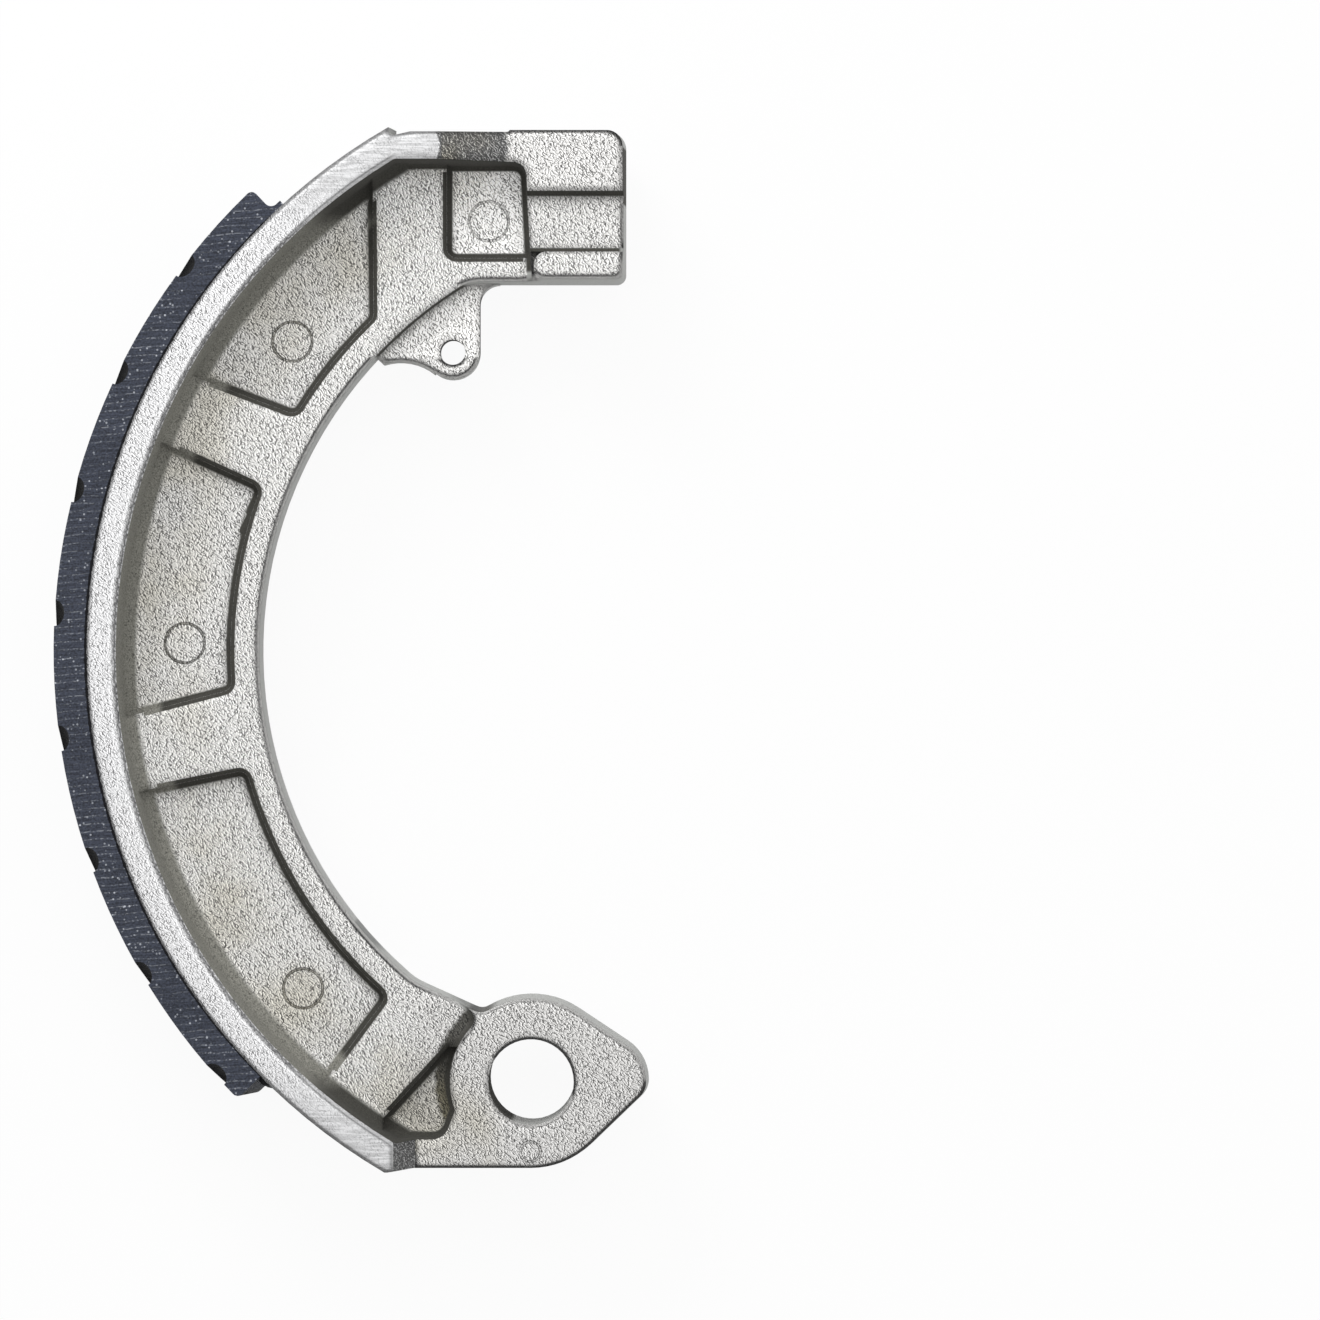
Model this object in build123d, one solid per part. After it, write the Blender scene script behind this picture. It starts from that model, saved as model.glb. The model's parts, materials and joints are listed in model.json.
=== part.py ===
from build123d import *
import os
from math import acos, atan2, cos, degrees, hypot, radians, sin, tan

# Brake shoe for a drum brake: an aluminium casting with a bonded friction lining.
# Units are millimetres. +Z is up and parallel to the drum axis.
# The shoe lies on its side, the lining to the left (-X), the cam end up (+Y).
# Outlines are drawn about the drum axis, and the finished shoe is moved so that
# the origin is the centre of the pivot bore at half the shoe's width.
# Angles about the drum axis count from -X and are positive towards the cam end.

# Friction lining
DRUM_R = 100.0              # worn face
WIDTH = 28.0                # lining and table
LINING_T = 5.0
LINING_CAM_DEG = 46.5       # end near the cam, on the front side
LINING_PIVOT_DEG = -44.7    # end near the pivot, on the front side
END_SKEW = 1.7              # how far both ends lean over the width
LINING_EDGE_R = 1.0         # worn outer edge of both ends
LINING_FOOT = 2.0           # thin foot that runs out on the table at the cam end
LINING_FOOT_T = 0.7
LINING_FOOT_R = 1.2
GROOVES = 9
GROOVE_R = 1.5              # round bottomed, half as deep as wide
GROOVE_PITCH_DEG = 11.3
GROOVE_FIRST_DEG = 48.6     # nearest the cam, on the front side
GROOVE_LEAN_DEG = 42.0      # against the drum axis

# Table, the curved wall under the lining
TABLE_T = 4.75
DRAFT_DEG = 3.0             # each half narrows away from the middle plane
WALL_ROOT_R = 3.0
HEAD_DROP = 17.6            # top edge below the top of the drum, at the middle plane
HEAD_T = 4.3                # wall along the top edge, at its machined side
HEAD_RAMP_X = (-39.3, -28.9)    # where the top wall drops to the cam block
LIP_INSET = 0.6             # sharp lip left where the table was turned
LIP_RISE = 1.7
LIP_NOTCH = 0.6
LIP_RUN = 2.6

# Web
WEB_T = 12.0
WEB_H = 22.35               # table to inner edge
ROOT_R = 1.2
KNEE_R = 9.0
NECK_R = 2.2
SHOULDER_R = 6.0            # between inner edge and cam block

# Pockets, alike on both sides
POCKET_T = 6.4              # web left between two pockets
RIM_W = 4.8                 # between inner edge and long pockets
FLOOR_R = 1.2
POCKET_BEVEL = 0.6          # broken edge along the top of the pocket walls
POCKET_CORNER_R = 1.6
LONG_POCKETS = (            # angles of both end walls, each at the rim and at the table
    ((46.5, 56.2), (30.9, 28.9)),
    ((20.9, 21.6), (-4.8, -6.7)),
    ((-15.0, -14.3), (-48.8, -49.7)),
)

# Ejector marks on the front side
MARK_R = 3.3
BOSS_MARK_R = 1.75
MARK_W = 0.35
MARK_DEPTH = 0.15
POCKET_MARKS = ((10.3, 37.9), (10.1, 0.9), (8.8, -41.1))    # distance from the table, angle

# Cam end; heights are counted from the low side of the cam block
CAM_T = 20.0
CAM_X = -10.1               # end face
CAM_H = 24.5
CAM_RISE = 0.3              # block above the top edge of the head
CAM_TOP_CORNER_R = 3.0
CAM_LOW_CORNER_R = 1.5
CAM_WALL_X = (-25.7, -24.6)     # wall towards the square pocket, top and foot
CAM_WALL_R = 2.4
SEAT_T = 15.0               # flat between the two raised pads
SEAT_LIFT = (4.8, 14.4)
SEAT_R = 1.0                # foot of both pads
PAD_END_R = 2.0             # round inner end of the lower pad
CAM_POCKET_X = -38.5        # end wall of the square pocket
CAM_POCKET_LIFT = 4.0
CAM_MARK_X = -31.9
CAM_MARK_LIFT = 10.0

# Pivot end
PIVOT_X = -25.1
PIVOT_LIFT = 31.9           # bore axis above the bottom of the drum
BORE_D = 13.5
BORE_CHAMFER = 1.25         # on the back side
BOSS_T = 16.0
BOSS_R = 13.6
BOSS_LOW_R = 14.0           # below the bore
BOSS_FOOT_R = 12.5          # recess wall around the boss
NOSE_REACH = 18.6           # bore axis to the tip
NOSE_R = (7.4, 3.6)         # upper and lower half of the tip
FOOT_CORNER_R = 3.2
FOOT_WALL_DEG = 195.0       # where the bottom wall meets the boss
FOOT_LIP = 0.6
FOOT_LIP_RUN = 3.8
WAIST_TURN_DEG = 4.0        # recess wall at the boss, turned from the neck
KNEE_TURN_DEG = 19.6        # end of the inner edge's arc, turned from the bore about the drum axis

# Places at the pivot end, counted from the bore axis
NECK_AT = (-7.9, 11.2)
FOOT_CORNER_AT = (-13.5, -9.4)
FOOT_RAMP_AT = (-21.6, -18.3)       # where the bottom wall drops to the boss
FOOT_LIP_AT = -18.6
PIVOT_POCKET_AT = ((-13.1, 5.5), (-23.5, -5.9))     # upper wall
BOSS_MARK_AT = (-0.1, -11.0)

# Spring lug
TAB_T = 5.0
SPRING_X = -37.65
SPRING_DROP = 10.75         # hole below the cam block
SPRING_D = 4.0
LUG_R = 4.3
ARCH_AT = (-8.35, -10.15)   # hollow between lug and web, counted from the hole
ARCH_R = 8.6
ARCH_END_DEG = 108.0        # where the hollow ends beside the web
FLARE_R = 3.2               # between lug and cam block

TABLE_OUT_R = DRUM_R - LINING_T
TABLE_IN_R = TABLE_OUT_R - TABLE_T
WEB_IN_R = TABLE_IN_R - WEB_H
RIM_R = WEB_IN_R + RIM_W
HEAD_Y = DRUM_R - HEAD_DROP
CAM_TOP_Y = HEAD_Y + CAM_RISE
CAM_LOW_Y = CAM_TOP_Y - CAM_H
SEAT_Y = (CAM_LOW_Y + SEAT_LIFT[0], CAM_LOW_Y + SEAT_LIFT[1])
PIVOT = (PIVOT_X, PIVOT_LIFT - DRUM_R)
KNEE_DEG = KNEE_TURN_DEG + degrees(atan2(PIVOT[1], -PIVOT[0]))
NECK = (PIVOT[0] + NECK_AT[0], PIVOT[1] + NECK_AT[1])
FOOT_CORNER = (PIVOT[0] + FOOT_CORNER_AT[0], PIVOT[1] + FOOT_CORNER_AT[1])
FOOT_RAMP_X = (PIVOT[0] + FOOT_RAMP_AT[0], PIVOT[0] + FOOT_RAMP_AT[1])
SPRING = (SPRING_X, CAM_LOW_Y - SPRING_DROP)
ARCH = (SPRING[0] + ARCH_AT[0], SPRING[1] + ARCH_AT[1])
HALF = WIDTH / 2
OVER = 1.0                  # cutters overshoot a face by this much
INTO = 12.5                 # outlines overlap a neighbour by this much
FAR = 1.5 * DRUM_R          # clear of the whole shoe


def polar(r, deg):
    """Point at radius r about the drum axis."""
    return (-r * cos(radians(deg)), r * sin(radians(deg)))


def heading(start, end):
    """Direction from one point to another, counted from +X."""
    return degrees(atan2(end[1] - start[1], end[0] - start[0]))


def away(point, deg, length):
    """Point at a length from another, in a direction counted from +X."""
    return (point[0] + length * cos(radians(deg)), point[1] + length * sin(radians(deg)))


def past(start, end, length):
    """Point on a line through two points, at a length past the second."""
    return away(end, heading(start, end), length)


def lean(length):
    """How far a drafted wall moves over a length."""
    return length * tan(radians(DRAFT_DEG))


def polygon(*points):
    """Face with straight sides, looking up whichever way round its points run."""
    turned = sum(a[0] * b[1] - a[1] * b[0] for a, b in zip(points, points[1:] + points[:1]))
    return make_face(Polyline(*(points if turned > 0 else points[::-1]), close=True))


def oblong(x0, x1, y0, y1):
    """Face with its sides along X and Y."""
    return polygon((x0, y0), (x1, y0), (x1, y1), (x0, y1))


def disc(point, radius):
    """Round face about a point."""
    return Pos(*point) * Circle(radius)


def prism(face, z0, z1):
    """Straight prism of a face between two heights."""
    return extrude(Pos(0, 0, z0) * face, amount=z1 - z0)


def rounded(face, *corners):
    """Face with the corners nearest to given points rounded, each by its radius."""
    for (x, y), radius in corners:
        corner = min(face.vertices(), key=lambda v: hypot(v.X - x, v.Y - y))
        face = fillet(corner, radius)
    return face


def drafted(face, z_drawn, z_floor):
    """Cutter with drafted walls, for a face drawn at a given height."""
    foot = mirror(extrude(face, amount=z_drawn - z_floor, taper=DRAFT_DEG), Plane.XY)
    return Pos(0, 0, z_drawn) * foot + prism(face, z_drawn, HALF + OVER)


def foot_edges(body):
    """Edges around the foot of a cutter, the longest one last."""
    return body.edges().group_by(Axis.Z)[0].sort_by(SortBy.LENGTH)


def sunk(face, z_drawn, z_floor, root):
    """Drafted cutter with a rounded foot."""
    body = drafted(face, z_drawn, z_floor)
    return fillet(foot_edges(body), root)


def nose(side, boss_r, tip_r):
    """Upper (1) or lower (-1) half of the nose: a round tip and a flank that touches it and the boss."""
    tip = (PIVOT[0] + NOSE_REACH - tip_r, PIVOT[1])
    deg = side * degrees(acos((boss_r - tip_r) / (NOSE_REACH - tip_r)))
    flank = polygon(PIVOT, away(PIVOT, deg, boss_r), away(tip, deg, tip_r), tip)
    return flank + (disc(tip, tip_r) & oblong(tip[0], FAR, PIVOT[1], PIVOT[1] + side * BOSS_R))


def side_outline():
    """Outline of the casting at the middle plane, without the lug, uncut outside the table."""
    foot_y = PIVOT[1] - BOSS_LOW_R
    low_y, high_y = foot_y - FOOT_LIP, HEAD_Y + LIP_RISE
    lip_x = LIP_INSET - (TABLE_OUT_R ** 2 - HEAD_Y ** 2) ** 0.5
    foot_lip_x = PIVOT[0] + FOOT_LIP_AT
    knee = polar(WEB_IN_R, KNEE_DEG)
    shoulder = (-(WEB_IN_R ** 2 - CAM_LOW_Y ** 2) ** 0.5, CAM_LOW_Y)
    shoulder_deg = degrees(atan2(shoulder[1], -shoulder[0]))
    web = polygon(
        (0, 0), polar(FAR, shoulder_deg), (-FAR, 0), polar(FAR, KNEE_DEG),
    ) - disc((0, 0), WEB_IN_R)
    head = polygon(
        (-FAR, high_y), (lip_x, high_y), (lip_x, HEAD_Y - LIP_NOTCH), (lip_x + LIP_RUN, HEAD_Y),
        (CAM_WALL_X[0], HEAD_Y), (CAM_WALL_X[1], CAM_LOW_Y), (-FAR, CAM_LOW_Y),
    )
    arm = polygon(
        (-FAR, knee[1]), knee, past(knee, NECK, NECK_R), PIVOT, (PIVOT[0], foot_y),
        (foot_lip_x, foot_y), (foot_lip_x - FOOT_LIP_RUN, low_y), (-FAR, low_y),
    )
    boss = disc(PIVOT, BOSS_R) + (disc(PIVOT, BOSS_LOW_R) & oblong(-FAR, FAR, -FAR, PIVOT[1]))
    tip = nose(1, BOSS_R, NOSE_R[0]) + nose(-1, BOSS_LOW_R, NOSE_R[1])
    outline = (web + head + arm + boss + tip) & oblong(-FAR, FAR, low_y, high_y)
    outline = rounded(outline, (knee, KNEE_R), (NECK, NECK_R), (shoulder, SHOULDER_R))
    cam = rounded(
        oblong(HEAD_RAMP_X[1], CAM_X, CAM_LOW_Y, CAM_TOP_Y),
        ((CAM_X, CAM_TOP_Y), CAM_TOP_CORNER_R), ((CAM_X, CAM_LOW_Y), CAM_LOW_CORNER_R),
    )
    return outline + cam


def recess(z_floor):
    """Cutter inside table, head and boss, with the wide root along the table."""
    top_y = HEAD_Y - lean(HALF) - HEAD_T
    corner, foot = (CAM_WALL_X[0], top_y), (CAM_WALL_X[1], CAM_LOW_Y)
    waist_deg = heading(PIVOT, NECK) + WAIST_TURN_DEG
    area = polygon(
        (-FAR, top_y), corner, foot, (foot[0], 0), away(PIVOT, waist_deg, FAR / 4),
        PIVOT, away(PIVOT, FOOT_WALL_DEG, BOSS_FOOT_R - OVER), FOOT_CORNER, (-FAR, FOOT_CORNER[1]),
    ) & disc((0, 0), TABLE_IN_R)
    area = rounded(
        area - disc(PIVOT, BOSS_FOOT_R),
        (corner, CAM_WALL_R), (FOOT_CORNER, FOOT_CORNER_R), (away(PIVOT, waist_deg, BOSS_FOOT_R), NECK_R),
    )
    body = drafted(area, HALF, z_floor)
    body = fillet(foot_edges(body)[-1], WALL_ROOT_R)
    return fillet(foot_edges(body)[:-1], ROOT_R)


def pocket_faces():
    """Outlines of the pockets at the web face; the table and the boss bound them outside."""
    faces = []
    for start, end in LONG_POCKETS:
        walls = [(polar(RIM_R, at_rim), polar(TABLE_IN_R, at_table)) for at_rim, at_table in (start, end)]
        (inner_a, outer_a), (inner_b, outer_b) = walls
        face = polygon(
            past(inner_a, outer_a, INTO), past(outer_a, inner_a, INTO),
            past(outer_b, inner_b, INTO), past(inner_b, outer_b, INTO),
        ) - disc((0, 0), RIM_R)
        faces.append(rounded(face, (inner_a, POCKET_CORNER_R), (inner_b, POCKET_CORNER_R)))
    corner = (CAM_POCKET_X, CAM_LOW_Y + CAM_POCKET_LIFT)
    faces.append(rounded(oblong(corner[0], 0, corner[1], FAR), (corner, POCKET_CORNER_R)))
    high, low = [(PIVOT[0] + x, PIVOT[1] + y) for x, y in PIVOT_POCKET_AT]
    faces.append(polygon(high, low, (low[0], -DRUM_R), (PIVOT[0], -DRUM_R), (PIVOT[0], high[1])))
    return faces


def bevelled(face, z_face):
    """Cutter that breaks the edge between a face's walls and the flat around it."""
    return Pos(0, 0, z_face - POCKET_BEVEL) * extrude(face, amount=POCKET_BEVEL, taper=-45)


def across(profile, y0, y1):
    """Prism along Y of a profile drawn in X and Z."""
    return extrude(Plane.XZ.offset(-y0) * make_face(Polyline(*profile, close=True)), amount=y0 - y1)


def stepped(x_ramp, low_z, y0, y1):
    """Cutter that ramps down from the machined side to a lower face on its right."""
    x0, x1 = x_ramp
    return across([(x0, HALF), (x1, low_z), (FAR, low_z), (FAR, HALF + OVER), (x0, HALF + OVER)], y0, y1)


def lug():
    """Spring lug below the cam end, with its hollow and its flare."""
    right_x = SPRING[0] + LUG_R
    arch_end = away(ARCH, ARCH_END_DEG, ARCH_R)
    face = polygon(
        SPRING, (right_x, SPRING[1]), (right_x, CAM_LOW_Y - FLARE_R),
        (right_x + FLARE_R, CAM_LOW_Y), (right_x, SEAT_Y[0]),
        polar(RIM_R, heading((0, 0), (-SPRING[0], SPRING[1]))),
        polar(RIM_R, heading((0, 0), (-arch_end[0], arch_end[1]))), arch_end,
        away(ARCH, heading(ARCH, SPRING), ARCH_R),
    ) + disc(SPRING, LUG_R)
    return face - disc(ARCH, ARCH_R) - disc((right_x + FLARE_R, CAM_LOW_Y - FLARE_R), FLARE_R)


def pad_end():
    """Outline of what is cut away around the round inner end of the lower pad."""
    x, low, high = CAM_WALL_X[1], CAM_LOW_Y, SEAT_Y[0]
    pad = rounded(oblong(x, CAM_X, low, high), ((x, low), PAD_END_R), ((x, high), PAD_END_R))
    return oblong(x - OVER, x + PAD_END_R, low - OVER, high) - pad


def mark(point, radius, z):
    """Shallow ring pressed in by an ejector pin."""
    return prism(disc(point, radius) - disc(point, radius - MARK_W), z - MARK_DEPTH, z + MARK_DEPTH)


def half_casting(front):
    """Half of the casting above the middle plane."""
    web_z, floor_z = WEB_T / 2, POCKET_T / 2
    body = extrude(side_outline(), amount=HALF, taper=DRAFT_DEG) & Cylinder(TABLE_OUT_R, 2 * WIDTH)
    body -= recess(web_z)
    limit = recess(floor_z)
    for face in pocket_faces():
        body -= sunk(face, web_z, floor_z, FLOOR_R) & limit
        body -= bevelled(face, web_z) & limit
    body -= stepped(HEAD_RAMP_X, CAM_T / 2, 0, FAR)
    body -= stepped(FOOT_RAMP_X, BOSS_T / 2, -FAR, 0)
    right_of_ramp = prism(oblong(HEAD_RAMP_X[1], FAR, 0, FAR), 0, WIDTH)
    body -= sunk(oblong(-DRUM_R, FAR, *SEAT_Y), CAM_T / 2, SEAT_T / 2, SEAT_R) & right_of_ramp
    body -= prism(pad_end(), SEAT_T / 2, HALF)
    body += extrude(lug(), amount=TAB_T / 2)
    if front:
        for depth, deg in POCKET_MARKS:
            body -= mark(polar(TABLE_IN_R - depth, deg), MARK_R, floor_z)
        body -= mark((CAM_MARK_X, CAM_LOW_Y + CAM_MARK_LIFT), MARK_R, floor_z)
        body -= mark((PIVOT[0] + BOSS_MARK_AT[0], PIVOT[1] + BOSS_MARK_AT[1]), BOSS_MARK_R, BOSS_T / 2)
    return body


def casting():
    """Whole casting: the two halves, the bore and the spring hole."""
    body = half_casting(True) + mirror(half_casting(False), Plane.XY)
    body -= Pos(*PIVOT) * Cylinder(BORE_D / 2, 2 * WIDTH)
    body -= Pos(*SPRING) * Cylinder(SPRING_D / 2, 2 * WIDTH)
    chamfer_cone = Cone(BORE_D / 2 + BORE_CHAMFER + OVER, BORE_D / 2, BORE_CHAMFER + OVER)
    return body - Pos(PIVOT[0], PIVOT[1], (BORE_CHAMFER - OVER - BOSS_T) / 2) * chamfer_cone


def lining_end(deg, side, radius=0):
    """Cutter past one end of the lining, outside a radius, leaning with the other end's cutter."""
    out = Vector(*polar(1, deg), 0)
    along = Vector(sin(radians(deg)), cos(radians(deg)), 0)
    square = (along * WIDTH - Vector(0, 0, END_SKEW)).normalized() * side
    end = Plane(origin=(0, 0, HALF), x_dir=out, z_dir=square)
    past_end = extrude(end * Rectangle(2 * FAR, 2 * FAR), amount=FAR)
    return past_end - Cylinder(radius, 2 * WIDTH) if radius else past_end


def groove(deg):
    """Ring that cuts one leaning groove, bent as the lining is bent along it."""
    slant = radians(GROOVE_LEAN_DEG)
    bend_r = DRUM_R / sin(slant) ** 2
    out = Vector(*polar(1, deg), 0)
    along = Vector(sin(radians(deg)), cos(radians(deg)), 0)
    run = along * sin(slant) + Vector(0, 0, cos(slant))
    return Plane(origin=out * (DRUM_R - bend_r), x_dir=out, z_dir=out.cross(run)) * Torus(bend_r, GROOVE_R)


def lining():
    """Friction lining with its worn ends and its leaning grooves."""
    body = prism(disc((0, 0), DRUM_R) - disc((0, 0), TABLE_OUT_R), -HALF, HALF)
    foot_r = TABLE_OUT_R + LINING_FOOT_T
    body -= lining_end(LINING_CAM_DEG, 1, foot_r)
    body -= lining_end(LINING_CAM_DEG + degrees(LINING_FOOT / foot_r), 1)
    body -= lining_end(LINING_PIVOT_DEG, -1)
    inner = Vector(*polar(foot_r, LINING_CAM_DEG), 0)
    body = fillet(min(body.edges(), key=lambda e: (e @ 0.5 - inner).length), LINING_FOOT_R)
    for deg in (LINING_CAM_DEG, LINING_PIVOT_DEG):
        worn = Vector(*polar(DRUM_R, deg), 0)
        body = fillet(min(body.edges(), key=lambda e: (e @ 0.5 - worn).length), LINING_EDGE_R)
    to_middle = degrees(HALF * tan(radians(GROOVE_LEAN_DEG)) / DRUM_R)
    for k in range(GROOVES):
        body -= groove(GROOVE_FIRST_DEG - k * GROOVE_PITCH_DEG - to_middle)
    return body


def save(body, name):
    """Write one piece with the pivot bore at the origin."""
    solid = (Pos(-PIVOT[0], -PIVOT[1]) * body).solids()[0]
    solid.label = name
    export_step(solid, f"parts/{name}.step")


os.makedirs("parts", exist_ok=True)
save(casting(), "shoe_casting")
save(lining(), "friction_lining")
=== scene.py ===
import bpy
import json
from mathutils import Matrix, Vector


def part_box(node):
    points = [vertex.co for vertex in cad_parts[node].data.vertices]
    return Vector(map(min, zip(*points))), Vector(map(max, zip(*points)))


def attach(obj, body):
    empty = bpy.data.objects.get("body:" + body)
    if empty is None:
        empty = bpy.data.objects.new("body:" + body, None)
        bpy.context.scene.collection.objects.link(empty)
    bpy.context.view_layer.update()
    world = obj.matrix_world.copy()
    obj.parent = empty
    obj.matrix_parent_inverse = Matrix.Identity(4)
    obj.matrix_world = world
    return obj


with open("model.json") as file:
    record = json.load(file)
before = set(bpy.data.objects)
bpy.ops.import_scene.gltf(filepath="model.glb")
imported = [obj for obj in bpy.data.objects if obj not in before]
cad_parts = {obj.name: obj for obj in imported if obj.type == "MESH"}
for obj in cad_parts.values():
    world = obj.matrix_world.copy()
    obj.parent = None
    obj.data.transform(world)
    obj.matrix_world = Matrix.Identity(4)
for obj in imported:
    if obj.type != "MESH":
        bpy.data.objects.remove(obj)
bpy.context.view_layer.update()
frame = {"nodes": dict(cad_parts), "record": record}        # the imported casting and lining, at rest

import json
from math import atan2, cos, pi, radians, sin
from types import SimpleNamespace

import bpy
import numpy as np
from mathutils import Vector

# Looks of a drum brake shoe that lies on its side under a soft studio light.
# Lengths are metres in the frame of the CAD model: the origin is the centre of
# the pivot bore, +Z is parallel to the drum axis and +Y points to the cam end.

bl_info = {
    "name": "Brake Shoe",
    "version": (1, 0, 0),
    "blender": (4, 5, 0),
    "location": "3D View > Sidebar > Brake Shoe",
    "description": "Finishes of a die cast brake shoe and its bonded lining",
    "category": "Object",
}

MM = 0.001
CASTING, LINING, BEAD = "shoe_casting", "friction_lining", "adhesive_bead"
WHITE = (1.0, 1.0, 1.0, 1.0)

# Sizes of the shoe that the finishes refer to
lining_low, lining_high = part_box(LINING)
casting_low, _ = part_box(CASTING)
friction_face = next(m for m in frame["record"]["mounts"] if m["name"] == "friction_face")
DRUM_R = 100 * MM
DRUM_X, DRUM_Y = friction_face["pos_m"][0] + DRUM_R, friction_face["pos_m"][1]
SIDE_Z = lining_high.z
LINING_T = 5 * MM
TABLE_T = 4.75 * MM
JOINT_R = DRUM_R - LINING_T
TABLE_IN_R = JOINT_R - TABLE_T
GROOVE_FLOOR_R = (98.2 * MM, 98.5 * MM)

# Places on the casting, from the drum axis: across is towards +X, up towards +Y
RECESS_IN_R = 71.4 * MM
RECESS_UP = (-80.3 * MM, 79.6 * MM)
BOSS_SIDE = (-28.5 * MM, -27.5 * MM)        # the recess ends here, across
BOSS_TOP = (-50 * MM, -48 * MM)             # and below this, up
CAM_POCKET = ((-40 * MM, -11 * MM), (60 * MM, 77.8 * MM))   # square pocket and seat
CAM_POCKET_SIDE = (-27 * MM, -26 * MM)      # where the seat begins
LUG = ((-54 * MM, -33 * MM), (46.6 * MM, 58 * MM))
BANK_R = (83.6 * MM, 85.2 * MM)             # foot of the long wall under the table
BANK_UP = (66 * MM, 70 * MM)                # where it ends, both ways
BANK_FOOT_R = (82.5 * MM, 84.5 * MM)        # the pocket's dark edges fade out here
BURR_SHADOW_UP = (65 * MM, 69 * MM)                # where the painted shadow of the turned edge's burr ends, both ways
TURNED_UP = (62 * MM, 76 * MM)              # where the sides show cutting marks, both ways
HEAD_RAMP = (-39.4 * MM, -28.7 * MM)
HEAD_RAMP_UP = (76.8 * MM, 77.2 * MM)
HEAD_BULGE_UP = 79.4 * MM
FOOT_RAMP = (-46.8 * MM, -43.2 * MM)
FOOT_RAMP_UP = (-77.2 * MM, -76.8 * MM)
# Line beside the pivot boss where a sloped rise, missing from the model, is drawn only as painted shade
FOOT_SLOPE_SHADE = ((-52.2 * MM, -43.6 * MM), (-33.9 * MM, -56.0 * MM))
# Line by the cam pads where a groove, missing from the model, is drawn only as painted shade
PAD_FOOT = ((-25.2 * MM, 62.6 * MM), (-24.9 * MM, 58.6 * MM))
STAIN_SIDE = (-34 * MM, -28 * MM)
STAIN_R = 78 * MM

# Places on the casting in the frame of the CAD model
MIDDLE_X, MIDDLE_Y = 22.75 * MM, DRUM_Y     # inside the arc
BOSS_SHADE_R = (11.8 * MM, 15.3 * MM)        # from the bore: the band of painted shade at the foot of the boss
BOSS_R = (19 * MM, 22 * MM)
BOSS_X = (-7 * MM, -5 * MM)
BOSS_Z = (7.7 * MM, 7.9 * MM)               # just below the boss's flat
LUG_Z = (2.7 * MM, 3.0 * MM)                # just above the lug's flat
FLOOR_Z = (4 * MM, 5 * MM)                  # between a pocket's floor and the web
MARKS = (                                   # ejector marks: x, y and radius; their two lines get painted shade
    (-37.99 * MM, 117.21 * MM, 3.3 * MM),
    (-55.04 * MM, 69.36 * MM, 3.3 * MM),
    (-36.28 * MM, 14.56 * MM, 3.3 * MM),
    (-6.80 * MM, 136.30 * MM, 3.3 * MM),
    (-0.1 * MM, -11.0 * MM, 1.75 * MM),
)
MARK_GAP = 0.35 * MM                        # between a mark's two lines
MARK_LINE = (0.04 * MM, 0.13 * MM)

# Strokes of the blasted skin
STROKE_TURN = -40                           # degrees
STROKE_DRAW = 1.5                           # length over width of a dimple
STROKE_WIDTH = 0.17
# The step between the two layers of lines stands for light from one side: painted shade on one side of each
# dimple, painted highlights on the other
STROKE_STEP = (-0.07 * MM, -0.11 * MM, 0.0)

# Rows of flecks on the lining's sides
ROW_TURN = 4                                # degrees
ROW_CLIMB = 0.07                            # the same as a slope

# Adhesive
ARC_POINTS, END_POINTS = 600, 60
SECTION_POINTS = 12

# Stage
FLOOR_REACH = 3.0
FLOOR_GAP = 0.02 * MM                       # between floor and casting
PHOTO_SIDE = 1320                           # pixels
SHIFT = (-15 / PHOTO_SIDE, -10 / PHOTO_SIDE)
FILM = 36.0                                 # millimetres
SOFTBOX = {"size": 1.2, "place": (0.10, 0.55, 1.35), "aim": (0.0, 0.07, 0.0)}
KEY = {"size": 0.25, "place": (-0.22, 0.52, 0.34), "aim": (-0.03, 0.09, 0.0)}


def linear(red, green, blue):
    """Scene colour of a display colour given in steps from 0 to 255."""
    steps = np.array([red, green, blue]) / 255
    return tuple(np.where(steps <= 0.04045, steps / 12.92, ((steps + 0.055) / 1.055) ** 2.4).tolist())


class Field:
    """A number that varies over a surface, with Python's operators as Math nodes."""

    def __init__(self, paint, socket):
        self.paint = paint
        self.socket = socket

    def math(self, operation, *values):
        node = self.paint.node("ShaderNodeMath", {"operation": operation}, dict(enumerate(values)))
        return Field(self.paint, node.outputs[0])

    def __add__(self, other):
        return self.math("ADD", self, other)

    __radd__ = __add__

    def __sub__(self, other):
        return self.math("SUBTRACT", self, other)

    def __rsub__(self, other):
        return self.math("SUBTRACT", other, self)

    def __mul__(self, other):
        return self.math("MULTIPLY", self, other)

    __rmul__ = __mul__

    def __pow__(self, other):
        return self.math("POWER", self, other)

    def __abs__(self):
        return self.math("ABSOLUTE", self)

    def upto(self, other):
        """The smaller of two numbers."""
        return self.math("MINIMUM", self, other)

    def over(self, other):
        """The larger of two numbers."""
        return self.math("MAXIMUM", self, other)

    def repeat(self, length):
        """The number counted from 0 again after each length."""
        return self.math("WRAP", self, length, 0.0)

    def rise(self, low, high):
        """0 below a low value, 1 above a high one, with a smooth step between."""
        node = self.paint.node(
            "ShaderNodeMapRange", {"interpolation_type": "SMOOTHSTEP"},
            {"Value": self, "From Min": low, "From Max": high},
        )
        return Field(self.paint, node.outputs["Result"])

    def fall(self, low, high):
        """1 below a low value, 0 above a high one."""
        return 1 - self.rise(low, high)

    def within(self, low, high, soft):
        """1 between two values, with soft borders."""
        return self.rise(low - soft, low + soft) * self.fall(high - soft, high + soft)

    def towards(self, other, share):
        """This number at a share of 0, the other one at a share of 1."""
        return self + (other - self) * share


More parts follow.
